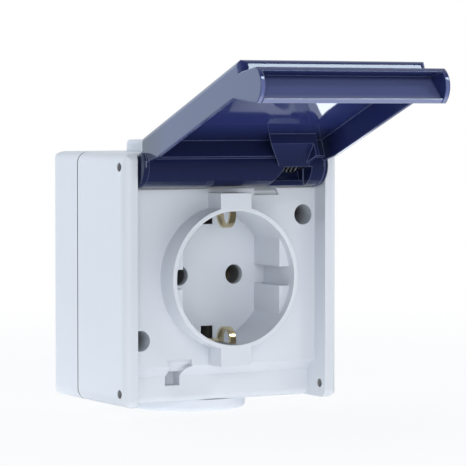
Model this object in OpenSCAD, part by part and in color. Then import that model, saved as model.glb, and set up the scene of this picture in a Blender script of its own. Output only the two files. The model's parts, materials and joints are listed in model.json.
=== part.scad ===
// Surface mounted earthed socket with a hinged lid, millimetres.
// X runs to the right seen from the front, Y runs into the wall and Z runs up.
// The origin is the middle of the back face, which sits on the wall.

/* [Housing] */
// Width of the housing
box_w = 73.3; // [70:0.1:90]
// Height of the housing
box_h = 75.2; // [73:0.1:90]
// Depth from the wall to the cheek fronts
box_d = 48.4; // [46:0.1:60]
// Depth of the back box, from the wall to the parting line
base_d = 17.7; // [15:0.1:19]
// Wall of both housing shells
wall_t = 2.5; // [2:0.1:3]
// Radius of the corners seen from the front
corner_r = 3.6; // [2:0.1:4.5]
// Radius of the front and back edges
edge_r = 2.5; // [1.5:0.1:3]

/* [Cover front] */
// Thickness of the two side cheeks
cheek_t = 4.5; // [4:0.1:6]
// Distance of the plate behind the cheek fronts
plate_in = 6.3; // [5.8:0.1:7]
// Distance of the top and bottom strips behind the plate
strip_in = 4.5; // [4.5:0.1:6]
// Height of the flat plate
plate_h = 53; // [51:0.1:53.5]
// Height of the slope between the plate and a strip
slope_h = 3.2; // [2:0.1:4]
// Radius of the strips' outer edges
lip_r = 2; // [1:0.1:2.5]
// Sideways distance of the cover screws from the middle
screw_x = 28; // [27.8:0.1:29]
// Upright distance of the cover screws from the middle
screw_z = 18.3; // [16:0.1:19]
// Bore that takes a cover screw's head
screw_well_d = 6.2; // [6:0.1:7]

/* [Spring notch] */
// Middle of a notch, sideways from the middle
notch_x = 15; // [14.5:0.1:16]
// Height of the notch's inner edge above the middle
notch_z = 24.5; // [24:0.1:25]
// Width of the notch's hole
notch_hole_w = 4.9; // [4:0.1:6]
// Height of the notch's hole
notch_hole_h = 4.2; // [3.5:0.1:5]
// Radius of the notch's round side
notch_round = 1.8; // [1.4:0.1:2.4]
// Spread of the notch's straight side
notch_flare = 1.9; // [1:0.1:2.2]

/* [Socket] */
// Distance between the two pin holes
pin_pitch = 19; // [18:0.1:20]
// Diameter of a pin hole
pin_hole_d = 6; // [5.4:0.1:6.4]
// Diameter of the recess
cup_d = 40.2; // [39.6:0.1:41]
// Wall of the collar
collar_t = 1.3; // [1:0.1:1.8]
// Distance the collar stands out of the plate
collar_out = 8.1; // [7:0.1:8.2]
// Depth of the recess, from the collar's rim
cup_depth = 18.4; // [17.5:0.1:19]
// Thickness of the recess floor
floor_t = 2.5; // [2:0.1:3]
// Distance of the side flats from the middle
flat_x = 16.6; // [16:0.1:17.5]
// Distance of the side flats' tops below the rim
flat_in = 2.9; // [1:0.1:4]
// Width of the groove between a pair of flats
groove_w = 5.8; // [5:0.1:7]
// Width of the two blocks behind the earth clips
block_w = 10.4; // [9:0.1:11]
// Distance of the upper block's outer face from the middle
block_z = 25.4; // [24.4:0.1:25.5]
// Distance of the lower block's outer face from the middle
block_low_z = 26.4; // [24.4:0.1:26.5]

/* [Earth clips] */
// Width of a clip
clip_w = 2.1; // [1.8:0.1:2.6]
// Thickness of the clip's strip
clip_t = 0.7; // [0.5:0.05:0.9]
// Outer radius of the bow
bow_r = 4.2; // [3.6:0.1:4.6]
// Length of the bow's straight arms
bow_arm = 0.8; // [0.4:0.1:1.2]
// Distance of the bow's middle in front of the floor
bow_out = 12.2; // [11:0.1:12.5]

/* [Hinge] */
// Distance of the hinge axis behind the cheek fronts
hinge_in = 3.25; // [3:0.05:3.5]
// Distance of the hinge axis below the top edge
hinge_down = 4.2; // [4:0.1:4.4]
// Diameter of a hinge pin
pin_d = 2.5; // [2:0.1:2.8]
// Opening angle of the lid in the rest pose
open_angle = 111; // [90:1:111]
// Radius of the lid's ears
ear_r = 6.5; // [6.2:0.1:6.6]
// Radius of the lid's barrel
barrel_r = 6.2; // [5.8:0.1:6.2]

/* [Lid] */
// Width of the lid
lid_w = 61.5; // [60:0.1:62]
// Distance of the lid's outer face from the hinge axis
panel_out = 7.1; // [7.1:0.05:8]
// Thickness of the lid's panel
panel_t = 1.7; // [1.4:0.05:1.7]
// Distance from the hinge axis to the panel's free edge
panel_len = 67.7; // [67:0.1:70]
// Thickness of the side flanges
flange_t = 1.1; // [1:0.1:1.6]
// Distance of the flanges' lower edge behind the hinge axis
flange_in = 1.95; // [1.5:0.05:2.4]
// Radius of the panel's two front corners
panel_corner_r = 2.4; // [1.8:0.1:3]
// Radius of the lid's outer edges
lid_edge_r = 1.6; // [1:0.1:1.7]
// Distance from the hinge axis to the far end of the grip
grip_reach = 76.6; // [75:0.1:77.5]
// Radius of the grip's bulged end
grip_r = 5.9; // [5.6:0.1:6.4]
// Wall of the grip channel
grip_t = 1.3; // [1:0.1:1.8]
// Distance of the grip's lower lip behind the hinge axis
grip_in = 7.8; // [7:0.1:7.8]

/* [Inside] */
// Diameter of a plug pin, the inside of a contact sleeve
plug_pin_d = 4.8; // [4.6:0.1:5]
// Length of a plug pin, which the sleeves leave room for
plug_pin_len = 19; // [18:0.1:20]
// Wall of a contact sleeve
sleeve_t = 0.8; // [0.6:0.1:1]
// Thickness of the contact carrier
carrier_t = 8; // [7:0.1:9]
// Edge of a terminal block
block_a = 9; // [8:0.1:9.4]
// Depth of a terminal block
block_d = 7; // [6:0.1:7.5]
// Diameter of a terminal screw's thread
term_d = 3; // [2.6:0.1:3.4]
// Diameter of a cover screw's thread
cover_screw_d = 3.4; // [3:0.1:3.6]
// Diameter of a carrier screw's thread
carrier_screw_d = 2.5; // [2.2:0.1:2.8]

/* [Cable entries and wall fixing] */
// Outer diameter of a cable entry
entry_d = 36.4; // [35:0.1:36.4]
// Distance a cable entry stands out of the housing
entry_out = 3.5; // [3:0.1:4.5]
// Distance of the cable entries from the wall
entry_y = 18.6; // [18.4:0.1:18.6]
// Diameter of the hole that a cable entry closes
entry_hole_d = 26; // [24:0.1:27]
// Sideways distance of a wall screw hole from the middle
wall_hole_x = 24; // [20:0.1:26]
// Diameter of a wall screw hole
wall_hole_d = 4.5; // [4:0.1:5.5]

/* [Clearances] */
// Radial room round a pin or screw that is held fast
seat_gap = 0.02; // [0.01:0.01:0.05]
// Radial room round a pin that turns
run_gap = 0.06; // [0.03:0.01:0.1]
// Room between loose neighbours
free_gap = 0.2; // [0.1:0.05:0.3]

/* [Hidden] */
$fn = 48;

// Colours
shell_grey = [0.82, 0.85, 0.89];
navy = [0.12, 0.15, 0.38];
brass = [0.78, 0.65, 0.38];
steel = [0.72, 0.73, 0.75];
rubber_white = [0.86, 0.89, 0.94];
seal_black = [0.12, 0.12, 0.13];
insert_grey = [0.62, 0.65, 0.69];

// Small overlap that keeps joins clean
eps = 0.01;
// Overshoot that carries a cut past a face
cut = 1;

// Planes of the housing, along Y
front_y = -box_d;
plate_y = front_y + plate_in;
strip_y = plate_y + strip_in;
joint_y = -base_d;
rim_y = plate_y - collar_out;
floor_y = rim_y + cup_depth;
floor_back_y = floor_y + floor_t;

// Half sizes of the housing and its inner walls
half_w = box_w / 2;
half_h = box_h / 2;
cheek_x = half_w - cheek_t;
in_x = half_w - wall_t;
in_z = half_h - wall_t;
plate_z = plate_h / 2;
strip_z = plate_z + slope_h;
// Inward shift that keeps the slope about as thick as the walls
slope_shift = 0.4 * wall_t;

// Cover screws: shelf, head and post
shelf_t = 4;
shelf_y = joint_y - shelf_t;
screw_seal_t = 1;
screw_head_h = 2.6;
screw_head_r = screw_well_d / 2 - free_gap;
post_r = screw_well_d / 2 + 1.5;
screw_hole_r = cover_screw_d / 2 + free_gap / 2;
screw_len = 12;
cross_r = 0.6 * screw_head_r;
slot_w = 0.9;
slot_d = 1.2;
screw_spots = [[screw_x, screw_z], [-screw_x, -screw_z]];

// Seal between the shells
seal_w = 0.48 * wall_t;
seal_in = (wall_t - seal_w) / 2;
seal_t = 1.2;

// Shadow line between the shells
line_w = 0.45;
line_in = 0.4;

// Recess, flats and blocks
cup_r = cup_d / 2;
collar_r = cup_r + collar_t;
clip_room = 1;
slot_half = clip_w / 2 + clip_room;
leg_gap = 0.3;
leg_z = cup_r - clip_t / 2 - leg_gap;
bow_mid_z = leg_z + clip_t / 2 - bow_arm;
floor_slot_drop = 0.7;
floor_slot_z = bow_mid_z - bow_r + floor_slot_drop;
clip_pocket_z = block_z - 1.6;
clip_pocket_in = 1.2;

// Notch: depth of its shelf and height of the shelf
notch_in = 1.2;
notch_shelf_h = 1.2;
notch_hole_z = notch_z + 3.8;
notch_l = notch_x - notch_hole_w / 2;
notch_r = notch_x + notch_hole_w / 2;
notch_pocket = 4;
notch_wall = 1.2;

// Hinge
hinge_y = front_y + hinge_in;
hinge_z = half_h - hinge_down;
pin_r = pin_d / 2;
pin_sunk = 2.2;
ear_t = 1.6;
ear_edge_r = 1;
ear_gap = 0.55;
ear_trim = 0.9;
ear_x = cheek_x - ear_gap;
web_t = 1.6;
web_x = lid_w / 2 - 4.6;

// Lid section: lengths L run from the hinge axis to the free edge, O runs outwards
lid_x = lid_w / 2;
panel_i = panel_out - panel_t;
flush_in = 0.15;
flush_o = hinge_in - flush_in;
flush_l = 4.85;
rear_l = 6.2;
rib_l = 7.6;
rib_o = 0.2;
rib_back_l = 5.2;
barrel_t = 1.6;
barrel_top_l = -hinge_down;
end_l = panel_len - panel_t;
// Lower edge of the flanges where it bends up to the hinge
heel_l = 13;
heel_o = -1.65;
heel_root_o = 0.2;
grip_l = grip_reach - grip_r;
grip_o = -2.2;
grip_top_o = 3.05;
grip_slope = -0.2;
grip_side_t = 1.4;
// Shares of the grip's length at which its channel, lower lip and lower corner lie
channel_share = 0.19;
lip_share = 0.6;
low_share = 0.5;
grip_room = grip_reach - panel_len;
channel_l = panel_len + channel_share * grip_room;
lip_l = panel_len + lip_share * grip_room;
low_end_l = panel_len + low_share * grip_room;
lip_h = 0.7;
lip_o = lip_h - grip_in;
lip_t = 1.5;
low_run = 7.1;
low_l = panel_len - low_run;
// Hollow round in the step above the grip
step_r = 0.6;
far_l = grip_reach + 10;

// Spring box under the panel: a wedge that narrows to the window, and a thin wall on its right
sbox_x0 = 8.2;
sbox_x1 = 24.4;
sbox_l = 13;
sbox_end_o = 2.2;
sbox_foot = [5.6, -2.5];
sbox_foot_x = 14.2;
sbox_wall_t = 1.3;
sbox_wall_o = -1.7;

// Lid spring: wire, coil and the web beside it
wire_r = 0.4;
coil_r = 2;
coil_x0 = notch_x + 1.6;
coil_x1 = 22.4;
coil_turns = 4;
ring_sides = 8;
rings_per_turn = 18;
spring_web_x = coil_x0 - web_t - 2 * wire_r;
// Ends of the spring's legs, as distances from the hinge axis along Y and Z
lid_leg_l = 8.5;
lid_leg_o = 1.6;
housing_end = [strip_y + 2 - hinge_y, notch_hole_z + notch_hole_h / 2 - hinge_z];
lid_end = [-lid_leg_l * sin(open_angle) - lid_leg_o * cos(open_angle),
    -lid_leg_l * cos(open_angle) + lid_leg_o * sin(open_angle)];
leg_a = leaves(housing_end, -1);
leg_b = leaves(lid_end, 1);
// The coil turns backwards from the housing's leg to the lid's leg
turn = -(360 * coil_turns + (leg_a - leg_b + 720) % 360);
coil_rings = round(abs(turn) / 360 * rings_per_turn);
spring_path = concat([[coil_x0, housing_end[0], housing_end[1]]],
    [for (i = [0:coil_rings]) around(coil_x0 + (coil_x1 - coil_x0) * i / coil_rings,
        leg_a + turn * i / coil_rings)],
    [[coil_x1, lid_end[0], lid_end[1]]]);

// Window in the barrel that shows the spring, set out on the open lid, and slots for the legs
window_angle = 111;
window_x0 = coil_x0 - wire_r;
window_x1 = 25.6;
window_slant = 4.6;
window_low = 0.3;
window_in = 1.2;
tab_x0 = 19.3;
tab_y = -4.9;
tab_t = 1;
tab_h = 3.1;
tab_low = 2.1;
leg_slot = 0.8;
leg_end = [lid_leg_l, lid_leg_o];
leg_root_a = atan2(lid_leg_o, lid_leg_l) - acos(coil_r / norm(leg_end));
leg_root = coil_r * [cos(leg_root_a), sin(leg_root_a)];
leg_tip = leg_end + leg_slot * unit(leg_end - leg_root);
coil_room_r = coil_r + wire_r + free_gap / 2;

// Inside: carrier, contacts and terminals
carrier_y = floor_back_y + carrier_t;
carrier_r = collar_r - 0.8;
sleeve_r = plug_pin_d / 2 + sleeve_t;
ring_t = 0.5;
guide_t = 5;
slit_w = 0.8;
pin_room = 1.4;
pin_end_y = floor_y + plug_pin_len + pin_room;
clamp_a = block_a - 2.5;
clamp_t = 1;
term_head_r = 2.6;
term_head_h = 2;
wire_hole_r = 1.7;
bar_t = 1.2;
bar_w = 6;
// Places of the terminals: beside a sleeve, and on the earth bar
term_x = sleeve_r + (block_a - sleeve_t) / 2;
earth_z = -10;
earth_spot = [0, earth_z];
earth_block_h = block_a - 2;
boss_spots = [[12.5, 11], [-12.5, -11]];
boss_r = 2.4;
boss_drop = 0.1;
carrier_head_r = 3.6;
carrier_head_h = 1.8;

// Cable entries
entry_r = entry_d / 2;
entry_hole_r = entry_hole_d / 2;
entry_flange_r = entry_hole_r + 1.7;
entry_flange_t = 1.5;
entry_lip_r = 1.2;
entry_wall = 3;
entry_steps = [[11, 1.2], [7.5, 2.2], [4, 3.2]];

// Reads a lid length and outward distance as a point of the closed lid's section
function lp(l, o) = [-o, -l];
// Height of the grip's upper and lower lines at a length
function grip_top(l) = grip_top_o + grip_slope * (l - panel_len);
function grip_low(l) = -flange_in - (grip_in - flange_in) * (l - low_l) / (low_end_l - low_l);

// Section in the YZ plane, drawn out along X
module slab_x(x0, x1) {
    translate([x0, 0, 0]) rotate([90, 0, 90]) linear_extrude(x1 - x0) children();
}
// Outline in the XZ plane, drawn out along Y
module slab_y(y0, y1) {
    translate([0, y1, 0]) rotate([90, 0, 0]) linear_extrude(y1 - y0) children();
}
// Outline in the XY plane, drawn out along Z
module slab_z(z0, z1) {
    translate([0, 0, z0]) linear_extrude(z1 - z0) children();
}
module rod_x(x0, x1, r) {
    translate([x0, 0, 0]) rotate([0, 90, 0]) cylinder(h = x1 - x0, r = r);
}
module rod_y(y0, y1, r) {
    translate([0, y0, 0]) rotate([-90, 0, 0]) cylinder(h = y1 - y0, r = r);
}
module at_xz(p) {
    translate([p[0], 0, p[1]]) children();
}
// The shape and the same shape turned half round about the front axis
module both_ways() {
    children();
    rotate([0, 180, 0]) children();
}
module mirrored_z() {
    children();
    mirror([0, 0, 1]) children();
}
// Rectangle between two corners with round corners
module round_rect(x0, y0, x1, y1, r) {
    translate([x0 + r, y0]) square([x1 - x0 - 2 * r, y1 - y0]);
    translate([x0, y0 + r]) square([x1 - x0, y1 - y0 - 2 * r]);
    for (x = [x0 + r, x1 - r], y = [y0 + r, y1 - r]) translate([x, y]) circle(r);
}

// The whole housing's outside, with every edge rounded
module envelope() {
    intersection() {
        slab_y(front_y, 0) round_rect(-half_w, -half_h, half_w, half_h, corner_r);
        slab_x(-half_w, half_w) round_rect(front_y, -half_h, 0, half_h, edge_r);
        slab_z(-half_h, half_h) round_rect(-half_w, front_y, half_w, 0, edge_r);
    }
}
// Section of the space in front of the plate and strips, set back by a wall
module front_section(back, shift, top_z) {
    polygon([[front_y - cut, -top_z], [strip_y + back, -top_z], [strip_y + back, -strip_z + shift],
        [plate_y + back, -plate_z + shift], [plate_y + back, plate_z - shift],
        [strip_y + back, strip_z - shift], [strip_y + back, top_z], [front_y - cut, top_z]]);
}
// Ring outline that the seal and its groove share
module seal_outline() {
    out_w = half_w - seal_in;
    out_h = half_h - seal_in;
    difference() {
        round_rect(-out_w, -out_h, out_w, out_h, corner_r - seal_in);
        square(2 * [out_w - seal_w, out_h - seal_w], center = true);
    }
}
// Cut-outs of both cable entries in the top and bottom walls
module entry_holes() {
    mirrored_z() translate([0, -entry_y, in_z - cut])
        cylinder(h = wall_t + 2 * cut, r = entry_hole_r + seat_gap);
}

// Back box: an open tray on the wall with two screw posts
module back_box() color(shell_grey) {
    difference() {
        union() {
            difference() {
                intersection() {
                    envelope();
                    slab_y(joint_y, cut) square([box_w + cut, box_h + cut], center = true);
                }
                slab_y(joint_y - cut, -wall_t) square([2 * in_x, 2 * in_z], center = true);
            }
            for (p = screw_spots) at_xz(p) rod_y(joint_y, -wall_t + eps, post_r);
            for (s = [-1, 1]) at_xz([s * wall_hole_x, 0]) rod_y(-2 * wall_t, -wall_t + eps, wall_hole_d);
        }
        for (p = screw_spots) {
            at_xz(p) rod_y(joint_y - cut, joint_y + screw_len - shelf_t, cover_screw_d / 2 + seat_gap);
        }
        for (s = [-1, 1]) at_xz([s * wall_hole_x, 0]) rod_y(-3 * wall_t, cut, wall_hole_d / 2);
        entry_holes();
        slab_y(joint_y - cut, joint_y + line_w) difference() {
            square(2 * [half_w + cut, half_h + cut], center = true);
            round_rect(-half_w + line_in, -half_h + line_in, half_w - line_in, half_h - line_in, corner_r);
        }
    }
}

// Seal: two strips in the cover's groove, stopped at the cable entries
module box_seal() color(seal_black) {
    difference() {
        slab_y(joint_y - seal_t, joint_y) seal_outline();
        entry_holes();
    }
}

// Notch with one round and one straight side, and the pocket that takes a leg of the lid spring
module notch_cut() {
    ledge_y = plate_y + notch_in;
    hole_y = front_y + plate_in / 2;
    intersection() {
        slab_x(notch_l - notch_round, notch_r + notch_flare) polygon([[front_y, notch_z], [ledge_y, notch_z],
            [ledge_y, notch_z + notch_shelf_h], [strip_y, notch_hole_z], [strip_y, strip_z], [front_y, strip_z]]);
        slab_y(front_y, strip_y + cut) difference() {
            polygon([[notch_l - notch_round, notch_z - cut], [notch_r + notch_flare, notch_z - cut],
                [notch_r + notch_flare, notch_z], [notch_r, notch_hole_z], [notch_r, strip_z + cut],
                [notch_l, strip_z + cut], [notch_l, notch_hole_z], [notch_l - notch_round, notch_hole_z]]);
            translate([notch_l - notch_round, notch_hole_z]) circle(notch_round);
        }
    }
    translate([notch_l, hole_y, notch_hole_z])
        cube([notch_hole_w, strip_y + notch_pocket - hole_y, notch_hole_h]);
}
// Walls of that pocket behind the strip
module notch_box() {
    translate([notch_l - notch_wall, strip_y + wall_t / 2, notch_hole_z - notch_wall])
        cube([notch_hole_w + 2 * notch_wall, notch_pocket + notch_wall - wall_t / 2,
            notch_hole_h + 2 * notch_wall]);
}
// Space inside the recess, between the side flats and their grooves
module cup_space() {
    difference() {
        rod_y(rim_y - cut, floor_y, cup_r);
        for (s = [-1, 1], t = [-1, 1]) {
            translate([s > 0 ? flat_x : -flat_x - cup_r, rim_y + flat_in,
                t > 0 ? groove_w / 2 : -groove_w / 2 - cup_r])
                cube([cup_r, cup_depth, cup_r]);
        }
    }
}
// Well, shelf hole and cheek holes of the cover
module cover_bores() {
    for (p = screw_spots) at_xz(p) {
        rod_y(plate_y - cut, shelf_y, screw_well_d / 2);
        rod_y(shelf_y - cut, joint_y + cut, screw_hole_r);
    }
    for (s = [-1, 1]) {
        translate([0, hinge_y, s * hinge_z]) rod_x(-half_w - cut, half_w + cut, pin_r + seat_gap);
        at_xz([s * pin_pitch / 2, 0]) rod_y(floor_y - cut, floor_back_y + cut, pin_hole_d / 2);
    }
}
// Rounds the outer edge of the lower strip
module lip_round() {
    slab_x(-cheek_x, cheek_x) difference() {
        translate([strip_y - cut, -half_h - cut]) square(lip_r + cut);
        translate([strip_y + lip_r, -half_h + lip_r]) circle(lip_r);
    }
}

// Front cover: cheeks, plate, collar and recess in one moulding
module front_cover() color(shell_grey) {
    difference() {
        union() {
            difference() {
                intersection() {
                    envelope();
                    slab_y(front_y - cut, joint_y) square([box_w + cut, box_h + cut], center = true);
                }
                slab_x(-cheek_x, cheek_x) front_section(0, 0, half_h + cut);
                difference() {
                    slab_y(plate_y, joint_y + cut) square([2 * in_x, 2 * in_z], center = true);
                    slab_x(-half_w, half_w) front_section(wall_t, slope_shift, half_h);
                }
                mirrored_z() lip_round();
            }
            rod_y(rim_y, floor_back_y, collar_r);
            for (z = [-block_low_z, cup_r - cut]) translate([-block_w / 2, rim_y, z])
                cube([block_w, floor_back_y - rim_y, (z > 0 ? block_z : block_low_z) - cup_r + cut]);
            both_ways() notch_box();
            for (p = screw_spots) at_xz(p) rod_y(plate_y, joint_y, post_r);
            for (p = boss_spots) at_xz(p) rod_y(floor_back_y - eps, carrier_y - boss_drop, boss_r);
        }
        cup_space();
        both_ways() translate([-slot_half, rim_y + clip_pocket_in, cup_r - cut])
            cube([2 * slot_half, floor_y - rim_y - clip_pocket_in, clip_pocket_z - cup_r + cut]);
        both_ways() translate([-slot_half, floor_y - cut, floor_slot_z])
            cube([2 * slot_half, floor_t + 2 * cut, cup_r - floor_slot_z]);
        cover_bores();
        both_ways() notch_cut();
        for (p = boss_spots) {
            at_xz(p) rod_y(floor_back_y, carrier_y, carrier_screw_d / 2 + seat_gap);
        }
        entry_holes();
        slab_y(joint_y - seal_t, joint_y + cut) seal_outline();
    }
}

// Hinge pins: one short, and one long enough to carry the spring
module hinge_pin_left() color(steel) {
    translate([0, hinge_y, hinge_z]) rod_x(-half_w + pin_sunk, -web_x + web_t / 2, pin_r);
}
module hinge_pin_right() color(steel) {
    translate([0, hinge_y, hinge_z]) rod_x(spring_web_x, half_w - pin_sunk, pin_r);
}

// Contact carrier: a round insert behind the recess floor
module contact_carrier() color(insert_grey) {
    difference() {
        rod_y(floor_back_y, carrier_y, carrier_r);
        for (s = [-1, 1]) at_xz([s * pin_pitch / 2, 0]) {
            rod_y(floor_back_y - cut, carrier_y + cut, pin_hole_d / 2);
            rod_y(floor_back_y + guide_t, carrier_y + cut, sleeve_r + ring_t + free_gap);
        }
        for (p = boss_spots) at_xz(p) rod_y(floor_back_y - cut, carrier_y + cut, boss_r + free_gap);
        both_ways() translate([-slot_half, floor_back_y - cut, floor_slot_z])
            cube([2 * slot_half, carrier_t + 2 * cut, carrier_r]);
    }
}

// Sleeve for one plug pin, with its terminal block at the side behind the carrier
module pin_contact() {
    difference() {
        union() {
            rod_y(carrier_y, pin_end_y, sleeve_r);
            translate([term_x - block_a / 2, carrier_y, -block_a / 2]) cube([block_a, block_d, block_a]);
        }
        rod_y(carrier_y - cut, pin_end_y + cut, plug_pin_d / 2);
        translate([-sleeve_r - cut, carrier_y - cut, -slit_w / 2])
            cube([sleeve_r + cut, pin_end_y - carrier_y + 2 * cut, slit_w]);
        at_xz([term_x, 0]) terminal_bores();
    }
}
// Wire hole across a terminal block and the screw hole from the back
module terminal_bores() {
    translate([0, carrier_y + block_d / 2, -block_a]) cylinder(h = 2 * block_a, r = wire_hole_r);
    rod_y(carrier_y + block_d / 2, carrier_y + block_d + cut, term_d / 2 + seat_gap);
}
module terminal_screw() {
    head_y = carrier_y + block_d + clamp_t;
    difference() {
        union() {
            rod_y(carrier_y + block_d / 2 + wire_hole_r, head_y + eps, term_d / 2);
            rod_y(head_y, head_y + term_head_h, term_head_r);
        }
        translate([-term_head_r, head_y + term_head_h - slot_d, -slot_w / 2])
            cube([2 * term_head_r, slot_d + cut, slot_w]);
    }
}
module clamp_plate() {
    difference() {
        translate([-clamp_a / 2, carrier_y + block_d, -clamp_a / 2]) cube([clamp_a, clamp_t, clamp_a]);
        rod_y(carrier_y, carrier_y + block_d + clamp_t + cut, term_d / 2 + seat_gap);
    }
}
// Ring that presses the split sleeve together behind the terminal block
module sleeve_ring() {
    ring_y = carrier_y + block_d + free_gap;
    difference() {
        rod_y(ring_y, pin_end_y - free_gap, sleeve_r + seat_gap + ring_t);
        rod_y(ring_y - cut, pin_end_y + cut, sleeve_r + seat_gap);
    }
}
// Places of the two contacts, each with its terminal on the outside
module at_neutral(x) {
    at_xz([pin_pitch / 2 + x, 0]) children();
}
module at_line(x) {
    rotate([0, 180, 0]) at_neutral(x) children();
}
module line_contact() color(brass) at_line(0) pin_contact();
module neutral_contact() color(brass) at_neutral(0) pin_contact();
module line_sleeve_ring() color(steel) at_line(0) sleeve_ring();
module neutral_sleeve_ring() color(steel) at_neutral(0) sleeve_ring();
module line_clamp_plate() color(steel) at_line(term_x) clamp_plate();
module neutral_clamp_plate() color(steel) at_neutral(term_x) clamp_plate();
module earth_clamp_plate() color(steel) at_xz(earth_spot) clamp_plate();
module line_terminal_screw() color(steel) at_line(term_x) terminal_screw();
module neutral_terminal_screw() color(steel) at_neutral(term_x) terminal_screw();
module earth_terminal_screw() color(steel) at_xz(earth_spot) terminal_screw();

// Outline of the round bow of one earth clip, in the YZ plane, with straight arms
module bow_outline(r, arm) {
    translate([floor_y - bow_out, bow_mid_z]) {
        translate([-r, 0]) square([2 * r, arm]);
        intersection() {
            circle(r);
            translate([-r, -r]) square([2 * r, r + eps]);
        }
    }
}
// Section of a leg that runs forward along the recess wall and bows inwards
module clip_section() {
    back = floor_y - bow_out + bow_r - clip_t;
    difference() {
        bow_outline(bow_r, bow_arm);
        bow_outline(bow_r - clip_t, bow_arm + cut);
    }
    translate([back, leg_z - clip_t / 2]) square([carrier_y + eps - back, clip_t]);
}
// Earth strap: two clips on one bar with the earth terminal
module earth_strap() color(brass) {
    difference() {
        union() {
            both_ways() slab_x(-clip_w / 2, clip_w / 2) clip_section();
            translate([-bar_w / 2, carrier_y, -leg_z - clip_t / 2]) cube([bar_w, bar_t, 2 * leg_z + clip_t]);
            translate([-block_a / 2, carrier_y, earth_z - earth_block_h / 2])
                cube([block_a, block_d, earth_block_h]);
        }
        at_xz(earth_spot) rotate([0, 90, 0]) terminal_bores();
    }
}

module carrier_screws() color(steel) for (p = boss_spots) at_xz(p) difference() {
    union() {
        rod_y(floor_back_y + free_gap, carrier_y + eps, carrier_screw_d / 2);
        rod_y(carrier_y, carrier_y + carrier_head_h, carrier_head_r);
    }
    translate([-carrier_head_r, carrier_y + carrier_head_h - slot_d, -slot_w / 2])
        cube([2 * carrier_head_r, slot_d + cut, slot_w]);
}
module cover_screws() color(steel) for (p = screw_spots) at_xz(p) {
    head_y = shelf_y - screw_seal_t - screw_head_h;
    difference() {
        union() {
            rod_y(head_y, head_y + screw_head_h, screw_head_r);
            rod_y(head_y + screw_head_h - eps, shelf_y + screw_len, cover_screw_d / 2);
        }
        for (a = [0, 90]) rotate([0, a, 0]) translate([-cross_r, head_y - cut, -slot_w / 2])
            cube([2 * cross_r, slot_d + cut, slot_w]);
    }
}
module cover_screw_seals() color(seal_black) for (p = screw_spots) at_xz(p) difference() {
    rod_y(shelf_y - screw_seal_t, shelf_y, screw_head_r);
    rod_y(shelf_y - screw_seal_t - cut, shelf_y + cut, cover_screw_d / 2 + seat_gap);
}

// Cable entry: a soft plug with a stepped membrane, held in the shells' round cut-out
module cable_entry() {
    inner = -wall_t - entry_flange_t;
    translate([0, -entry_y, half_h]) rotate_extrude() difference() {
        union() {
            square([entry_r - entry_lip_r, entry_out]);
            square([entry_r, entry_out - entry_lip_r]);
            translate([entry_r - entry_lip_r, entry_out - entry_lip_r]) circle(entry_lip_r);
            translate([0, -wall_t]) square([entry_hole_r, wall_t + eps]);
            translate([0, inner]) square([entry_flange_r, entry_flange_t]);
        }
        for (s = entry_steps) translate([0, entry_out - s[1]]) square([s[0], entry_out]);
        translate([-entry_r, inner - cut]) square([entry_r, entry_out - inner + 2 * cut]);
        translate([0, inner - cut]) square([entry_hole_r - entry_wall, wall_t + entry_flange_t]);
    }
}
module cable_entry_top() color(rubber_white) cable_entry();
module cable_entry_bottom() color(rubber_white) mirror([0, 0, 1]) cable_entry();

// Outline of the barrel or an ear: round, with flat front and top
module barrel_section(r, t) {
    intersection() {
        circle(r);
        translate(lp(far_l, flush_o - t)) square([2 * far_l, far_l - barrel_top_l - t]);
    }
}
// Side view of the lid: panel and flanges with a round free edge, and the grip with its bulged end
module lid_section() {
    step = lp(panel_len + step_r, grip_top(panel_len) + step_r);
    difference() {
        polygon([lp(0, flush_o), lp(flush_l, flush_o), lp(rear_l, panel_out), lp(panel_len, panel_out),
            lp(panel_len, grip_low(panel_len)), lp(low_l, -flange_in), lp(heel_l, heel_o),
            lp(0, heel_root_o)]);
        difference() {
            translate(lp(panel_len + cut, panel_out + cut)) square(lid_edge_r + cut);
            translate(lp(panel_len - lid_edge_r, panel_out - lid_edge_r)) circle(lid_edge_r);
        }
    }
    intersection() {
        polygon([lp(panel_len - eps, grip_top(panel_len)), lp(far_l, grip_top(far_l)),
            lp(far_l, grip_low(far_l)), lp(panel_len - eps, grip_low(panel_len))]);
        union() {
            translate(lp(grip_l, 3 * panel_out)) square([6 * panel_out, grip_l]);
            translate(lp(grip_l, grip_o)) circle(grip_r);
        }
    }
    difference() {
        translate(step) square([2 * step_r, step_r]);
        translate(step) circle(step_r);
    }
}
// Space under the panel, open below, with the slanted back of the grip at its end
module tray_section() {
    polygon([lp(rib_l, panel_i), lp(end_l, panel_i), lp(end_l, grip_top(panel_len) - grip_t),
        lp(channel_l - lip_t, grip_top(channel_l) - grip_t), lp(lip_l - lip_t, lip_o),
        lp(lip_l - lip_t + cut, 2 * lip_o), lp(rib_back_l, 2 * lip_o), lp(rib_back_l, rib_o),
        lp(rib_l, rib_o)]);
}
// Finger channel in the grip: deep below its upper wall, shallow at its lower lip
module channel_section() {
    polygon([lp(channel_l, grip_top(channel_l) - grip_t), lp(far_l, grip_top(far_l) - grip_t),
        lp(far_l, lip_o), lp(lip_l, lip_o)]);
}
// Front view of the lid's rounded edges, seen along its length
module lid_end_view() {
    translate([-lid_x, lid_edge_r - panel_out]) square([lid_w, 3 * panel_out]);
    translate([lid_edge_r - lid_x, -panel_out]) square([lid_w - 2 * lid_edge_r, panel_out]);
    for (s = [-1, 1]) translate([s * (lid_x - lid_edge_r), lid_edge_r - panel_out]) circle(lid_edge_r);
}
// Rounds one front corner of the panel, above the grip
module panel_corner() {
    slab_y(-panel_out - cut, -grip_top(panel_len)) difference() {
        translate([lid_x - panel_corner_r, -panel_len - cut]) square(panel_corner_r + cut);
        translate([lid_x - panel_corner_r, -panel_len + panel_corner_r]) circle(panel_corner_r);
    }
}
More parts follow.
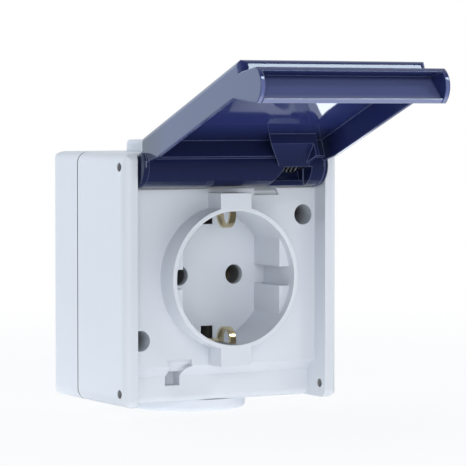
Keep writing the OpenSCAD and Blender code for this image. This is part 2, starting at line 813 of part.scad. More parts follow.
// Round ear at the end of the barrel, with a round outer edge
module ear() {
    translate([ear_x - ear_t, 0, 0]) rotate([0, 90, 0]) rotate_extrude() {
        square([ear_r - ear_edge_r, ear_t]);
        square([ear_r, ear_t - ear_edge_r]);
        translate([ear_r - ear_edge_r, ear_t - ear_edge_r]) intersection() {
            circle(ear_edge_r);
            square(ear_edge_r);
        }
    }
}
module spring_box() {
    intersection() {
        slab_x(sbox_x0, sbox_x1) polygon([lp(rear_l, panel_i + eps), lp(sbox_l, panel_i + eps),
            lp(sbox_l, sbox_end_o), lp(sbox_foot[0], sbox_foot[1]), lp(sbox_foot[0], 0)]);
        slab_y(-panel_out, ear_r) polygon([[sbox_x0, -sbox_l - cut], [sbox_x1, -sbox_l - cut], [sbox_x1, 0],
            [sbox_foot_x, -sbox_foot[0]], [sbox_x0, -sbox_l]]);
    }
    slab_x(sbox_x1 - sbox_wall_t, sbox_x1) polygon([lp(rear_l, panel_i + eps), lp(sbox_l, panel_i + eps),
        lp(sbox_l, sbox_wall_o), lp(sbox_foot[0], sbox_wall_o)]);
}
// Openings for the spring: its window in the barrel, room for its coil and slots for its legs
module spring_space() {
    past_r = ear_r + cut;
    slot_o = flush_o - barrel_t;
    rotate([window_angle, 0, 0]) slab_y(-past_r, -window_in) polygon([[window_x0, -window_low],
        [window_x1, -window_low], [window_x1, -past_r], [window_x0 - window_slant, -past_r]]);
    rod_x(coil_x0 - leg_slot, coil_x1 + leg_slot, coil_room_r);
    slab_x(coil_x0 - leg_slot, coil_x0 + leg_slot) polygon([lp(barrel_t + barrel_top_l, slot_o),
        lp(-past_r, slot_o), lp(-past_r, -past_r), lp(barrel_t + barrel_top_l, -past_r)]);
    slab_x(coil_x1 - leg_slot, coil_x1 + leg_slot) polygon([lp(leg_root[0], leg_root[1] - leg_slot),
        lp(leg_root[0], leg_root[1] + leg_slot), lp(leg_tip[0], leg_tip[1] + leg_slot),
        lp(leg_tip[0], leg_tip[1] - leg_slot)]);
}
// Small tab that hangs behind the window's upper edge
module spring_tab() {
    rotate([window_angle, 0, 0]) translate([tab_x0, tab_y, -tab_low])
        cube([window_x1 - tab_x0, tab_t, tab_h]);
}
module lid_closed() {
    difference() {
        union() {
            difference() {
                intersection() {
                    slab_x(-lid_x, lid_x) lid_section();
                    slab_z(-far_l, far_l) lid_end_view();
                }
                slab_x(-lid_x + flange_t, lid_x - flange_t) tray_section();
                slab_x(-lid_x + grip_side_t, lid_x - grip_side_t) channel_section();
                panel_corner();
                mirror([1, 0, 0]) panel_corner();
            }
            slab_x(-ear_x + ear_t / 2, ear_x - ear_t / 2) barrel_section(barrel_r, 0);
            intersection() {
                union() {
                    ear();
                    mirror([1, 0, 0]) ear();
                }
                slab_x(-half_w, half_w) barrel_section(2 * ear_r, ear_trim);
            }
            spring_box();
        }
        difference() {
            slab_x(-ear_x + ear_t, ear_x - ear_t) barrel_section(barrel_r - barrel_t, barrel_t);
            for (x = [-web_x - web_t / 2, web_x - web_t / 2, spring_web_x]) translate([x, -ear_r, -ear_r])
                cube([web_t, 2 * ear_r, 2 * ear_r]);
            spring_tab();
        }
        spring_space();
        rod_x(-half_w, half_w, pin_r + run_gap);
    }
}
// Lid with its barrel, ears, spring box and finger grip in one moulding, swung open
module lid() color(navy) {
    translate([0, hinge_y, hinge_z]) rotate([-open_angle, 0, 0]) lid_closed();
}

// Points of the lid spring relative to the hinge axis, in the YZ plane with X in front
function around(x, a) = [x, coil_r * cos(a), coil_r * sin(a)];
// Angle at which a straight leg to a point leaves the coil
function leaves(p, side) = atan2(p[1], p[0]) + side * acos(coil_r / norm(p));
function unit(v) = v / norm(v);
function heading(path, i) = unit(path[min(i + 1, len(path) - 1)] - path[max(i - 1, 0)]);
// Ring of points round the path, square to it
function wire_ring(path, i) = let (t = heading(path, i), u = unit(cross(t, [1, 0, 0])), v = cross(t, u))
    [for (k = [0:ring_sides - 1]) path[i] + wire_r * (cos(360 * k / ring_sides) * u
        + sin(360 * k / ring_sides) * v)];
module swept_wire(path) {
    n = len(path);
    points = [for (i = [0:n - 1]) each wire_ring(path, i)];
    sides = [for (i = [0:n - 2], k = [0:ring_sides - 1]) let (m = (k + 1) % ring_sides)
        [i * ring_sides + k, (i + 1) * ring_sides + k, (i + 1) * ring_sides + m, i * ring_sides + m]];
    caps = [[for (k = [0:ring_sides - 1]) k], [for (k = [ring_sides - 1:-1:0]) (n - 1) * ring_sides + k]];
    polyhedron(points, concat(sides, caps));
}
module lid_spring() color(steel) translate([0, hinge_y, hinge_z]) swept_wire(spring_path);

back_box();
box_seal();
front_cover();
hinge_pin_left();
hinge_pin_right();
contact_carrier();
line_contact();
neutral_contact();
line_sleeve_ring();
neutral_sleeve_ring();
earth_strap();
line_clamp_plate();
neutral_clamp_plate();
earth_clamp_plate();
line_terminal_screw();
neutral_terminal_screw();
earth_terminal_screw();
carrier_screws();
cover_screws();
cover_screw_seals();
cable_entry_top();
cable_entry_bottom();
lid();
lid_spring();
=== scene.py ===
# %% [markdown]
# # A surface mounted socket with its lid open
# The solids of the socket come from a CAD model. This lesson loads them, sets up the camera and the light of
# a small product studio, gives every piece its finish, and makes the lid's spring round.

# %% Load the CAD model
import json
import math
import bpy
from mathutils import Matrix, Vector

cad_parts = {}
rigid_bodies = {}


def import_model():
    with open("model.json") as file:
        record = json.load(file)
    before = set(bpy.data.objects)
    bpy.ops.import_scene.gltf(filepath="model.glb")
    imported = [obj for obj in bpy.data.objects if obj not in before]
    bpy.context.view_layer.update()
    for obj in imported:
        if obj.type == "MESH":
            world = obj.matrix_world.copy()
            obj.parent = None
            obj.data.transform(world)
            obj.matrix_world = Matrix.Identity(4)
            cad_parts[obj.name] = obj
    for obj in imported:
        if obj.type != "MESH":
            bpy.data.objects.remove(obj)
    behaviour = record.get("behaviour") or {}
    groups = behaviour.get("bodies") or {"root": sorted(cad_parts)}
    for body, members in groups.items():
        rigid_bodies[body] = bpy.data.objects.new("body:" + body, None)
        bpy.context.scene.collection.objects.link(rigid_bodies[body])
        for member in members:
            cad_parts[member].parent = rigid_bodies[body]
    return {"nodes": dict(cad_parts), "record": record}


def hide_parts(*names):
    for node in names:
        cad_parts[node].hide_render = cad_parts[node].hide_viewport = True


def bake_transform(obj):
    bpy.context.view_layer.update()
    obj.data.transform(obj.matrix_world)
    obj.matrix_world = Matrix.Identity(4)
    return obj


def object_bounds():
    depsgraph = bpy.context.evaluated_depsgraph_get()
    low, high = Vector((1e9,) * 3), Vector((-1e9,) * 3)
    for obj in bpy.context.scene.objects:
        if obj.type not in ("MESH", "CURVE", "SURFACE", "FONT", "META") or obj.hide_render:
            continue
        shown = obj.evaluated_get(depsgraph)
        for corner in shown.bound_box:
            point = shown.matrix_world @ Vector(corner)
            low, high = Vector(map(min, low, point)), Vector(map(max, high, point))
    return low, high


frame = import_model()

cad_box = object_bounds()
print("CAD box in mm:", [[round(v * 1000, 1) for v in corner] for corner in cad_box])

# %% [markdown]
# The photograph was taken with a long lens from the left of the socket and a little above it. A long
# lens keeps upright edges almost parallel. The camera could be placed by eye, but here its place, its
# turn and its lens were worked out from the edges of the socket, so the render covers the photograph.

# %% Camera
IMAGE_SIDE = 466
FOCAL_PIXELS = 2650.86
CAMERA_PLACE = (-0.389735, -0.73733, 0.049392)
CAMERA_YAW = 29.487
CAMERA_PITCH = -2.601

scene = bpy.context.scene
lens = bpy.data.cameras.new("studio_camera")
lens.sensor_width = 36
lens.lens = FOCAL_PIXELS / IMAGE_SIDE * lens.sensor_width
camera = bpy.data.objects.new("studio_camera", lens)
scene.collection.objects.link(camera)
camera.location = CAMERA_PLACE
camera.rotation_euler = (math.radians(90 + CAMERA_PITCH), 0, -math.radians(CAMERA_YAW))
scene.camera = camera
print("lens in mm:", round(lens.lens, 1))

# %% [markdown]
# The world, the floor and the finishes are all built from shader nodes. They could be wired by hand one by
# one, but three small helpers keep the wiring short: one splits a place into X, Y and Z, one turns a value
# into a ramp, and one chooses between two shaders.

# %% Node helpers
def split(tree, vector):
    """The X, Y and Z of a vector."""
    made = tree.nodes.new("ShaderNodeSeparateXYZ")
    tree.links.new(vector, made.inputs[0])
    return made.outputs


def ramp(tree, value, start, end, low=0, high=1, kind="SMOOTHSTEP"):
    """Runs from low, where a value is at its start, to high, where it is at its end."""
    made = tree.nodes.new("ShaderNodeMapRange")
    made.interpolation_type = kind
    for name, number in (("From Min", start), ("From Max", end), ("To Min", low), ("To Max", high)):
        made.inputs[name].default_value = number
    tree.links.new(value, made.inputs["Value"])
    return made.outputs["Result"]


def choose(tree, share, first, second):
    """The first shader where a share is 0, the second where it is 1."""
    made = tree.nodes.new("ShaderNodeMixShader")
    for socket, value in zip(made.inputs, (share, first, second)):
        tree.links.new(value, socket)
    return made.outputs["Shader"]


print("helpers:", split.__name__, ramp.__name__, choose.__name__)

# %% [markdown]
# The studio is white behind the socket, a little less bright beside and above it, and dark on the side where
# the camera stands. Glossy plastic shows what it faces, so this decides which parts of the lid look pale and
# which stay deep blue. The world could be one even colour, but then every part of the lid would mirror it
# and look paler. Here its strength follows the direction: Generated coordinates of a world are that
# direction. What the camera sees directly is plain white.

# %% World
FRONT_STRENGTH = 0.1
BACK_STRENGTH = 0.95
FRONT_TO_BACK = (-0.7, 0.3)

scene.view_settings.view_transform = "Standard"
world = bpy.data.worlds.new("white_studio")
scene.world = world
world.use_nodes = True
tree = world.node_tree
direction = tree.nodes.new("ShaderNodeTexCoord").outputs["Generated"]
depth = split(tree, direction)["Y"]
studio = tree.nodes["Background"]
studio.inputs["Color"].default_value = (0.93, 0.96, 1, 1)
strength = ramp(tree, depth, *FRONT_TO_BACK, FRONT_STRENGTH, BACK_STRENGTH)
tree.links.new(strength, studio.inputs["Strength"])
white = tree.nodes.new("ShaderNodeBackground")
white.inputs["Color"].default_value = (1, 1, 1, 1)
white.inputs["Strength"].default_value = 1
path = tree.nodes.new("ShaderNodeLightPath").outputs
seen = choose(tree, path["Is Camera Ray"], studio.outputs["Background"], white.outputs["Background"])
tree.links.new(seen, tree.nodes["World Output"].inputs["Surface"])
print("world strength, front and back:", FRONT_STRENGTH, BACK_STRENGTH)

# %% [markdown]
# Two large soft lamps shape the socket. One stands behind it on the left: it brightens the side of the
# housing and glances off the lid's side. One near the camera lights the plate and the recess. A large lamp
# gives a soft shadow and a broad, calm reflection. Two smaller ones are there for the glossy lid, which
# mirrors them: one high on the right shows as the pale line along the end of the lid, and a small panel on
# the floor shows as the white wedge under it.

# %% Lamps
def soft_lamp(name, place, aim, width, height, watts, colour=(1, 1, 1)):
    """A rectangular lamp at a place, turned towards a point."""
    data = bpy.data.lights.new(name, "AREA")
    data.shape = "RECTANGLE"
    data.size = width
    data.size_y = height
    data.energy = watts
    data.color = colour
    lamp = bpy.data.objects.new(name, data)
    scene.collection.objects.link(lamp)
    lamp.location = place
    lamp.rotation_euler = (Vector(aim) - Vector(place)).to_track_quat("-Z", "Y").to_euler()


SOCKET_MIDDLE = (0, -0.04, 0.01)
WEDGE_SPOT = (0.0995, 0.0275)

soft_lamp("lamp_back_left", (-0.62, 0.98, 0.15), SOCKET_MIDDLE, width=1.3, height=1.1, watts=4.8,
          colour=(0.82, 0.92, 1))
soft_lamp("lamp_front", (-0.42, -1.18, 0.2), SOCKET_MIDDLE, width=0.9, height=0.9, watts=7.5)
soft_lamp("lamp_right", (0.6, -0.77, 0.7), SOCKET_MIDDLE, width=0.25, height=0.22, watts=2)
soft_lamp("lamp_low", (*WEDGE_SPOT, cad_box[0].z), (*WEDGE_SPOT, 1), width=0.026, height=0.022, watts=0.0066,
          colour=(0.92, 0.96, 1))

# %% [markdown]
# The socket stands on its lower cable entry on a pale floor. In the photograph the floor itself is bright:
# slopes that face down are the palest parts of the housing. So the floor gives a soft light of its own, as
# a light table does, less on the left, where the housing's side is a little darker.

# %% Floor
FLOOR_Z = cad_box[0].z - 0.0003
GLOW_LEFT = 0.1
GLOW_RIGHT = 0.72
LEFT_TO_RIGHT = (-0.2, -0.03)


def object_place(tree):
    """The Object coordinates of a point on the surface."""
    return tree.nodes.new("ShaderNodeTexCoord").outputs["Object"]


bpy.ops.object.select_all(action="DESELECT")
bpy.ops.mesh.primitive_plane_add(size=6, location=(0, 0, FLOOR_Z))
floor = bpy.context.object
floor.name = "floor"
bpy.ops.object.transform_apply(location=True, rotation=True, scale=True)

paper = bpy.data.materials.new("white_paper")
paper.use_nodes = True
tree = paper.node_tree
sheet = tree.nodes["Principled BSDF"]
sheet.inputs["Base Color"].default_value = (0.86, 0.87, 0.88, 1)
sheet.inputs["Roughness"].default_value = 0.5
sheet.inputs["Emission Color"].default_value = (1, 0.985, 0.955, 1)
place = object_place(tree)
parts = split(tree, place)
own_light = ramp(tree, parts["X"], *LEFT_TO_RIGHT, GLOW_LEFT, GLOW_RIGHT)
tree.links.new(own_light, sheet.inputs["Emission Strength"])
floor.data.materials.append(paper)
print("floor at mm:", round(FLOOR_Z * 1000, 2))

# %% [markdown]
# What the camera sees of the floor, and what the glossy lid mirrors of it, is set apart from the light that
# it gives. The Light Path node tells the three kinds of ray apart. To the camera most of the floor's white
# is its own, so the shadow is as faint as in the photograph, and further out it fades into the white
# background. The mirrored floor is white behind the socket and dark towards the camera, as the studio is.

# %% Floor as the camera and the lid see it
SHADOW_SHARE = 0.12
SHADOW_FADE = (0.12, 0.42)
MIRROR_FRONT = 0.12
MIRROR_BACK = 1
MIRROR_FADE = (-0.03, 0.02)


def feed(tree, socket, value):
    """Puts a plain value on a socket, or links the result of another node to it."""
    if isinstance(value, bpy.types.NodeSocket):
        tree.links.new(value, socket)
    else:
        socket.default_value = value


def vector_step(tree, operation, *values):
    """The results of a Vector Math node on sockets or plain vectors."""
    made = tree.nodes.new("ShaderNodeVectorMath")
    made.operation = operation
    for socket, value in zip(made.inputs, values):
        feed(tree, socket, value)
    return made.outputs


def glow(tree, colour, strength):
    """A surface that only gives light."""
    made = tree.nodes.new("ShaderNodeEmission")
    made.inputs["Color"].default_value = (*colour, 1)
    feed(tree, made.inputs["Strength"], strength)
    return made.outputs["Emission"]


shadow = tree.nodes.new("ShaderNodeBsdfDiffuse")
shadow.inputs["Color"].default_value = (0.8, 0.9, 1, 1)
reach = vector_step(tree, "LENGTH", place)["Value"]
share = ramp(tree, reach, *SHADOW_FADE, SHADOW_SHARE, 0, kind="LINEAR")
for_camera = choose(tree, share, glow(tree, (1, 1, 1), 1), shadow.outputs["BSDF"])
depth = ramp(tree, parts["Y"], *MIRROR_FADE, MIRROR_FRONT, MIRROR_BACK)
mirrored = glow(tree, (0.93, 0.97, 1), depth)
path = tree.nodes.new("ShaderNodeLightPath").outputs
for_lid = choose(tree, path["Is Glossy Ray"], sheet.outputs["BSDF"], mirrored)
seen = choose(tree, path["Is Camera Ray"], for_lid, for_camera)
tree.links.new(seen, tree.nodes["Material Output"].inputs["Surface"])
print("mirrored floor, front and back:", MIRROR_FRONT, MIRROR_BACK)

# %% [markdown]
# An effect that several finishes share is a node group: it is built once and placed in each of them. Two
# helpers are enough to build such groups: one makes an empty group with named sockets, the other does sums.

# %% Group helpers
def new_group(name, inputs, outputs):
    """An empty node group: number inputs with their plain values, and number outputs."""
    group = bpy.data.node_groups.new(name, "ShaderNodeTree")
    for label, value in inputs.items():
        socket = group.interface.new_socket(label, in_out="INPUT", socket_type="NodeSocketFloat")
        socket.default_value = value
    for label in outputs:
        group.interface.new_socket(label, in_out="OUTPUT", socket_type="NodeSocketFloat")
    return group


def number_step(tree, operation, *values):
    """The result of a Math node on sockets or plain numbers."""
    made = tree.nodes.new("ShaderNodeMath")
    made.operation = operation
    for socket, value in zip(made.inputs, values):
        feed(tree, socket, value)
    return made.outputs[0]


print("group helpers:", new_group.__name__, number_step.__name__)

# %% [markdown]
# Moulded plastic is never perfectly even: its gloss and its skin vary a little. One node group makes
# that variation for every plastic here. It reads Object coordinates, so it stays on the piece.

# %% Shared grain
BROAD_SCALE = 45


def noise(tree, place, scale, detail):
    """A soft noise in space, from 0 to 1."""
    made = tree.nodes.new("ShaderNodeTexNoise")
    made.inputs["Detail"].default_value = detail
    feed(tree, made.inputs["Scale"], scale)
    tree.links.new(place, made.inputs["Vector"])
    return made.outputs["Fac"]


def moulded_skin():
    """Node group: fine height, soft gloss variation and a faint mottle."""
    tree = new_group("moulded_skin", {"Grain": 900, "Gloss": 0.35, "Gloss spread": 0.06},
                     ("Height", "Roughness", "Mottle"))
    given = tree.nodes.new("NodeGroupInput").outputs
    out = tree.nodes.new("NodeGroupOutput").inputs
    place = object_place(tree)
    tree.links.new(noise(tree, place, given["Grain"], detail=2), out["Height"])
    broad = noise(tree, place, BROAD_SCALE, detail=3)
    tree.links.new(broad, out["Mottle"])
    swing = number_step(tree, "SUBTRACT", broad, 0.5)
    gloss = number_step(tree, "MULTIPLY_ADD", swing, given["Gloss spread"], given["Gloss"])
    tree.links.new(gloss, out["Roughness"])
    return tree


skin_group = moulded_skin()
print("group sockets:", [s.name for s in skin_group.interface.items_tree])

# %% [markdown]
# Edges of a moulding are never razor sharp. They catch the light, and where the plastic is thin they let a
# little through, so they look paler than the faces. A Bevel node gives the normal that a rounded edge would
# have. Where it leaves the face's own normal, there is an edge: this group makes a mask of that. The plastics
# use the mask to paint their edges paler: a painted highlight.

# %% Edge finder
FACE_MATCH = 0.985
EDGE_MATCH = 0.8


def edge_finder():
    """Node group: a mask of the edges, for the painted edge highlight, and the normal of rounded edges."""
    tree = new_group("edge_finder", {"Width": 0.0004}, ("Edge",))
    tree.interface.new_socket("Normal", in_out="OUTPUT", socket_type="NodeSocketVector")
    given = tree.nodes.new("NodeGroupInput").outputs
    out = tree.nodes.new("NodeGroupOutput").inputs
    rounded = tree.nodes.new("ShaderNodeBevel")
    rounded.samples = 8
    tree.links.new(given["Width"], rounded.inputs["Radius"])
    tree.links.new(rounded.outputs["Normal"], out["Normal"])
    face = tree.nodes.new("ShaderNodeNewGeometry").outputs["Normal"]
    match = vector_step(tree, "DOT_PRODUCT", rounded.outputs["Normal"], face)["Value"]
    tree.links.new(ramp(tree, match, FACE_MATCH, EDGE_MATCH, kind="LINEAR"), out["Edge"])
    return tree


edge_group = edge_finder()
print("group sockets:", [s.name for s in edge_group.interface.items_tree])

# %% [markdown]
# One function makes every plastic: two close colours that the mottle mixes, a paler colour for the edges,
# which is a painted highlight, a gloss that varies a little and a skin that is a little uneven.

# %% Plastic maker
SKIN_HEIGHT = 0.0001


def add_group(tree, group, values):
    """The results of a node group that is placed in a material with its own values."""
    made = tree.nodes.new("ShaderNodeGroup")
    made.node_tree = group
    for name, value in values.items():
        made.inputs[name].default_value = value
    return made.outputs


def blend_colour(tree, mask, first, second):
    """Goes from the first colour to the second with a mask; a colour may come from a node."""
    mix = tree.nodes.new("ShaderNodeMix")
    mix.data_type = "RGBA"
    tree.links.new(mask, mix.inputs["Factor"])
    for name, colour in (("A", first), ("B", second)):
        feed(tree, mix.inputs[name], (*colour, 1) if isinstance(colour, tuple) else colour)
    return mix.outputs["Result"]


def plastic(name, base, other, edge, gloss, spread, grain, bump, width):
    """Moulded plastic, with its skin and edges from the two groups; the edges get a painted highlight."""
    made = bpy.data.materials.new(name)
    made.use_nodes = True
    tree = made.node_tree
    body = tree.nodes["Principled BSDF"].inputs
    skin = add_group(tree, skin_group, {"Grain": grain, "Gloss": gloss, "Gloss spread": spread})
    edges = add_group(tree, edge_group, {"Width": width})
    face = blend_colour(tree, skin["Mottle"], base, other)
    # Painted highlight: the edge mask mixes in the paler edge colour.
    tree.links.new(blend_colour(tree, edges["Edge"], face, edge), body["Base Color"])
    tree.links.new(skin["Roughness"], body["Roughness"])
    rough = tree.nodes.new("ShaderNodeBump")
    rough.inputs["Strength"].default_value = bump
    rough.inputs["Distance"].default_value = SKIN_HEIGHT
    tree.links.new(skin["Height"], rough.inputs["Height"])
    tree.links.new(edges["Normal"], rough.inputs["Normal"])
    tree.links.new(rough.outputs["Normal"], body["Normal"])
    return made


print("plastic maker uses:", skin_group.name, edge_group.name)

# %% [markdown]
# The housing is a satin light grey. The cable entries are a softer, paler rubber. The seals are black rubber.
# The insert behind the recess is painted nearly as dark, so that the holes in the recess look deep: painted
# shade. Every plastic's paler edge colour is a painted highlight.

# %% Plastics
housing_plastic = plastic(
    "housing_plastic", base=(0.63, 0.67, 0.73), other=(0.65, 0.69, 0.75), edge=(0.76, 0.8, 0.86),
    gloss=0.36, spread=0.06, grain=900, bump=0.08, width=0.0004)
# Painted shade: the insert is painted near black so the holes in the recess look deep.
insert_shade_plastic = plastic(
    "insert_shade_plastic", base=(0.12, 0.125, 0.13), other=(0.14, 0.145, 0.15), edge=(0.2, 0.2, 0.21),
    gloss=0.5, spread=0.08, grain=900, bump=0.1, width=0.0003)
soft_rubber = plastic(
    "soft_rubber", base=(0.67, 0.715, 0.785), other=(0.69, 0.735, 0.805), edge=(0.78, 0.82, 0.88),
    gloss=0.5, spread=0.08, grain=700, bump=0.1, width=0.0004)
seal_rubber = plastic(
    "seal_rubber", base=(0.01, 0.01, 0.011), other=(0.014, 0.014, 0.015), edge=(0.03, 0.03, 0.03),
    gloss=0.6, spread=0.1, grain=700, bump=0.1, width=0.0002)
print("plastics:", [m.name for m in (housing_plastic, insert_shade_plastic, soft_rubber, seal_rubber)])

# %% [markdown]
# Little light reaches the parting line between the two halves of the housing and the hinge holes in the
# cheeks, so they are painted dark: painted shade. A group marks them: the line by its distance from the wall,
# the holes by the distance from the hinge axis or from its twin at the lower end. Without their signs the two
# places are one, so the coordinates are folded first.

# %% Housing gaps
LINE_RISE = (-0.01771, -0.0177)
LINE_FALL = (-0.01724, -0.01725)
HINGE_FOLDED = (0, 0.04515, 0.0334)
HOLE_EDGE = (0.00135, 0.0013)


def both(tree, first, second):
    """A mask that is 1 only where two masks are."""
    return number_step(tree, "MULTIPLY", first, second)


def band(tree, value, rise, fall):
    """A mask of the values between two ramps."""
    return both(tree, ramp(tree, value, *rise), ramp(tree, value, *fall))


def housing_gap_shade():
    """Node group: masks of the parting line and of the hinge holes, for painted shade."""
    tree = new_group("housing_gap_shade", {}, ("Line", "Hole"))
    out = tree.nodes.new("NodeGroupOutput").inputs
    place = object_place(tree)
    depth = split(tree, place)["Y"]
    tree.links.new(band(tree, depth, LINE_RISE, LINE_FALL), out["Line"])
    flat = vector_step(tree, "MULTIPLY", place, (0, 1, 1))["Vector"]
    folded = vector_step(tree, "ABSOLUTE", flat)["Vector"]
    away = vector_step(tree, "DISTANCE", folded, HINGE_FOLDED)["Value"]
    tree.links.new(ramp(tree, away, *HOLE_EDGE), out["Hole"])
    return tree


gap_shade_group = housing_gap_shade()
print("group sockets:", [s.name for s in gap_shade_group.interface.items_tree])

# %% [markdown]
# Narrow hollows are painted darker with depth too: painted shade. The screw wells, the pin holes and the
# slots behind the earth clips are marked by their place across the front, and the mark grows from the mouth
# inwards. The back box wears the same plastic, so the mark ends with the cover.

# %% Deep places
WELL = {"middle": (0.028, 0, 0.0183), "edge": (0.00316, 0.00313), "depth": (0.0421, 0.028)}
PIN_HOLE = {"middle": (0.0095, 0, 0), "edge": (0.00306, 0.00303), "depth": (0.0318, 0.0272)}
SLOT_SIDE = (0.0021, 0.00207)
SLOT_ENDS = ((0.0125, 0.013), (0.0203, 0.0201))
SLOT_DEPTH = (0.0318, 0.0314)
COVER_BACK = (0.0185, 0.019)


def either(tree, first, second):
    """A mask that is 1 where one of two masks is."""
    return number_step(tree, "MAXIMUM", first, second)


def deep_place_shade():
    """Node group: a mask for painted shade that grows with the depth of the wells, pin holes and slots."""
    tree = new_group("deep_place_shade", {}, ("Deep",))
    out = tree.nodes.new("NodeGroupOutput").inputs
    folded = vector_step(tree, "ABSOLUTE", object_place(tree))["Vector"]
    flat = vector_step(tree, "MULTIPLY", folded, (1, 0, 1))["Vector"]
    side, depth, height = split(tree, folded)
    slot = both(tree, ramp(tree, side, *SLOT_SIDE), band(tree, height, *SLOT_ENDS))
    deep = both(tree, slot, ramp(tree, depth, *SLOT_DEPTH))
    for hollow in (WELL, PIN_HOLE):
        away = vector_step(tree, "DISTANCE", flat, hollow["middle"])["Value"]
        inside = ramp(tree, away, *hollow["edge"])
        deep = either(tree, deep, both(tree, inside, ramp(tree, depth, *hollow["depth"])))
    tree.links.new(both(tree, deep, ramp(tree, depth, *COVER_BACK)), out["Deep"])
    return tree


deep_shade_group = deep_place_shade()
print("group sockets:", [s.name for s in deep_shade_group.interface.items_tree])

# %% [markdown]
# The marks now darken the housing with painted shade. Its colour chain is taken up at the shader and
# lengthened by one step for each mark.

# %% Paint shade into the gaps and hollows
tree = housing_plastic.node_tree
body = tree.nodes["Principled BSDF"].inputs
gap_shade = add_group(tree, gap_shade_group, {})
hollow_shade = add_group(tree, deep_shade_group, {})
colour = body["Base Color"].links[0].from_socket
# Painted shade: the parting line and the hinge holes go dark, the hollows darker with depth.
colour = blend_colour(tree, gap_shade["Line"], colour, (0.1, 0.105, 0.115))
colour = blend_colour(tree, gap_shade["Hole"], colour, (0.32, 0.33, 0.35))
colour = blend_colour(tree, hollow_shade["Deep"], colour, (0.05, 0.052, 0.058))
tree.links.new(colour, body["Base Color"])
print("marks on the housing:", [o.name for o in (*gap_shade, *hollow_shade)])

# %% [markdown]
# The lid is a glossy deep blue. Its hinge side is thick and looks almost black. Its panel is thinner and its
# grip the thinnest, and both are painted paler, the grip palest: painted light, for the light that the thin
# walls let through. The grip's lower lip is painted paler still, a painted highlight. Plain masks along the
# lid's length and height, in Object coordinates, tell these places apart, so they stay on the lid when it
# closes. The walls that close the grip's channel at both ends are pale on their rims only, so the mask leaves
# out their faces. Paint in an attribute could do the same, but a mask needs no extra vertices.

# %% Lid places
PANEL_START = (-0.051, -0.066)
GRIP_START = (-0.1085, -0.1105)
GRIP_TOP = (0.0597, 0.0582)
LIP_TOP = (0.0545, 0.053)
CHANNEL_END = (0.0293, 0.0288)
END_RIM = ((0.0294, 0.0296), (0.0307, 0.0304))


def lid_places():
    """Node group: masks of the lid's panel, grip and lower lip, where light is painted in."""
    tree = new_group("lid_places", {}, ("Panel", "Grip", "Lip"))
    out = tree.nodes.new("NodeGroupOutput").inputs
    across, along, height = split(tree, object_place(tree))
    side = number_step(tree, "ABSOLUTE", across)
    tree.links.new(ramp(tree, along, *PANEL_START), out["Panel"])
    width = either(tree, band(tree, side, *END_RIM), ramp(tree, side, *CHANNEL_END))
    front = both(tree, ramp(tree, along, *GRIP_START), width)
    tree.links.new(both(tree, front, ramp(tree, height, *GRIP_TOP)), out["Grip"])
    tree.links.new(both(tree, front, ramp(tree, height, *LIP_TOP)), out["Lip"])
    return tree


place_group = lid_places()
print("group sockets:", [s.name for s in place_group.interface.items_tree])

# %% [markdown]
# The lid starts as the other plastics do, and its colour chain is then opened: the face colour changes with
# the place, paler where light is painted in, and so does the edge colour, a painted highlight, which is
# palest along the grip's lower lip.

# %% Lid plastic
LID_EDGE_HIGHLIGHT = (0.1, 0.12, 0.24)

lid_plastic = plastic(
    "lid_plastic", base=(0.009, 0.013, 0.05), other=(0.011, 0.015, 0.056), edge=LID_EDGE_HIGHLIGHT,
    gloss=0.06, spread=0.02, grain=300, bump=0.01, width=0.0005)
tree = lid_plastic.node_tree
body = tree.nodes["Principled BSDF"].inputs
body["Specular Tint"].default_value = (0.74, 0.88, 1, 1)
body["IOR"].default_value = 1.62
painted_light_places = add_group(tree, place_group, {})
edge_mix = body["Base Color"].links[0].from_node.inputs
face = edge_mix["A"].links[0].from_socket
# Painted light: the panel, the grip and its lip are painted paler than the hinge side.
face = blend_colour(tree, painted_light_places["Panel"], face, (0.021, 0.03, 0.125))
face = blend_colour(tree, painted_light_places["Grip"], face, (0.11, 0.135, 0.3))
face = blend_colour(tree, painted_light_places["Lip"], face, (0.21, 0.24, 0.38))
tree.links.new(face, edge_mix["A"])
# Painted highlight: the lid's edge colour, paler on the grip and palest on its lip.
rim_highlight = blend_colour(tree, painted_light_places["Grip"], LID_EDGE_HIGHLIGHT, (0.16, 0.19, 0.36))
rim_highlight = blend_colour(tree, painted_light_places["Lip"], rim_highlight, (0.36, 0.4, 0.56))
tree.links.new(rim_highlight, edge_mix["B"])
print("lid places:", [o.name for o in painted_light_places])

# %% [markdown]
# The earth clips are stamped from brass strip and the screws and pins are plated steel. Both are
# metal, so they only show what they reflect, a little blurred by the rolling and plating.

# %% Metals
def metal(name, base, other, gloss, spread, edge):
    """Bare or plated metal with a colour and a gloss that vary over the surface."""
    made = bpy.data.materials.new(name)
    made.use_nodes = True
    tree = made.node_tree
    body = tree.nodes["Principled BSDF"].inputs
    body["Metallic"].default_value = 1
    skin = add_group(tree, skin_group, {"Gloss": gloss, "Gloss spread": spread})
    tree.links.new(blend_colour(tree, skin["Mottle"], base, other), body["Base Color"])
    tree.links.new(skin["Roughness"], body["Roughness"])
    soft = tree.nodes.new("ShaderNodeBevel")
    soft.samples = 6
    soft.inputs["Radius"].default_value = edge
    tree.links.new(soft.outputs["Normal"], body["Normal"])
    return made


clip_brass = metal("clip_brass", base=(0.74, 0.62, 0.37), other=(0.82, 0.7, 0.44),
                   gloss=0.22, spread=0.1, edge=0.0002)
plated_steel = metal("plated_steel", base=(0.4, 0.41, 0.43), other=(0.46, 0.47, 0.48),
                     gloss=0.28, spread=0.1, edge=0.0001)
print("metals:", clip_brass.name, plated_steel.name)

# %% [markdown]
# Every CAD piece now takes the finish that the record names for it.

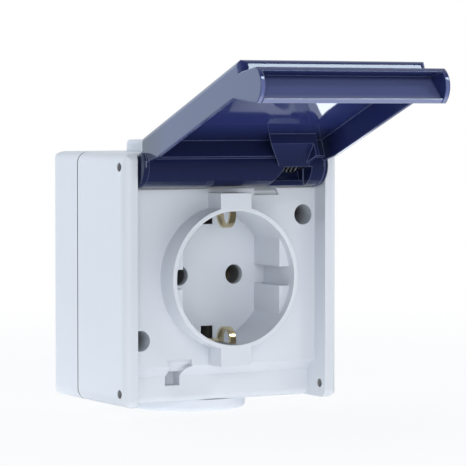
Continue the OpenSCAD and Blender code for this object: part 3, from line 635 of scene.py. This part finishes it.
# %% Dress the CAD pieces
finishes = {
    "housing_grey": housing_plastic,
    "lid_navy": lid_plastic,
    "insert_grey": insert_shade_plastic,
    "entry_rubber": soft_rubber,
    "seal_black": seal_rubber,
    "contact_brass": clip_brass,
    "steel": plated_steel,
}
for part in frame["record"]["subparts"]:
    piece = frame["nodes"][part["node"]]
    piece.data.materials.clear()
    piece.data.materials.append(finishes[part["material_slot"]])
print("dressed:", len(frame["nodes"]))

# %% [markdown]
# The CAD model's spring is a wire of flat facets, which shows in the lid's window. A copy of it has its loose
# triangles merged. A Subdivision Surface modifier will round it. That would also draw in the cut ends of the
# wire, so their edges get a crease.

# %% Spring wire
CUT_ANGLE = math.radians(60)

coarse = frame["nodes"]["lid_spring"]
bpy.ops.object.select_all(action="DESELECT")
wire = coarse.copy()
wire.data = coarse.data.copy()
wire.name = "spring_wire"
scene.collection.objects.link(wire)
wire.select_set(True)
bpy.context.view_layer.objects.active = wire
bpy.ops.object.parent_clear(type="CLEAR_KEEP_TRANSFORM")
bpy.ops.object.mode_set(mode="EDIT")
bpy.ops.mesh.select_all(action="SELECT")
bpy.ops.mesh.remove_doubles(threshold=0.000001)
bpy.ops.mesh.tris_convert_to_quads()
bpy.ops.mesh.select_mode(type="EDGE")
bpy.ops.mesh.select_all(action="DESELECT")
bpy.ops.mesh.edges_select_sharp(sharpness=CUT_ANGLE)
bpy.ops.transform.edge_crease(value=1)
bpy.ops.object.mode_set(mode="OBJECT")
print("spring faces, merged:", len(wire.data.polygons))

# %% [markdown]
# The rounding makes the wire a little thinner than the solid's, so it is fattened again afterwards.

# %% Round wire
WIRE_FATTEN = 0.00003
SMOOTH_ANGLE = math.radians(50)

rounding = wire.modifiers.new("rounding", "SUBSURF")
rounding.levels = 2
rounding.render_levels = 2
bpy.ops.object.modifier_apply(modifier="rounding")
bpy.ops.object.mode_set(mode="EDIT")
bpy.ops.mesh.select_all(action="SELECT")
bpy.ops.transform.shrink_fatten(value=WIRE_FATTEN)
bpy.ops.object.mode_set(mode="OBJECT")
bpy.ops.object.shade_smooth_by_angle(angle=SMOOTH_ANGLE)
print("spring faces:", len(coarse.data.polygons), "to", len(wire.data.polygons))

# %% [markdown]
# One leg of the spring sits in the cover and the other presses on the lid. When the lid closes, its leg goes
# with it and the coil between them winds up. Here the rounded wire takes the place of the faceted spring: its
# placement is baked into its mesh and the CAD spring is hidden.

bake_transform(wire)
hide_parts("lid_spring")
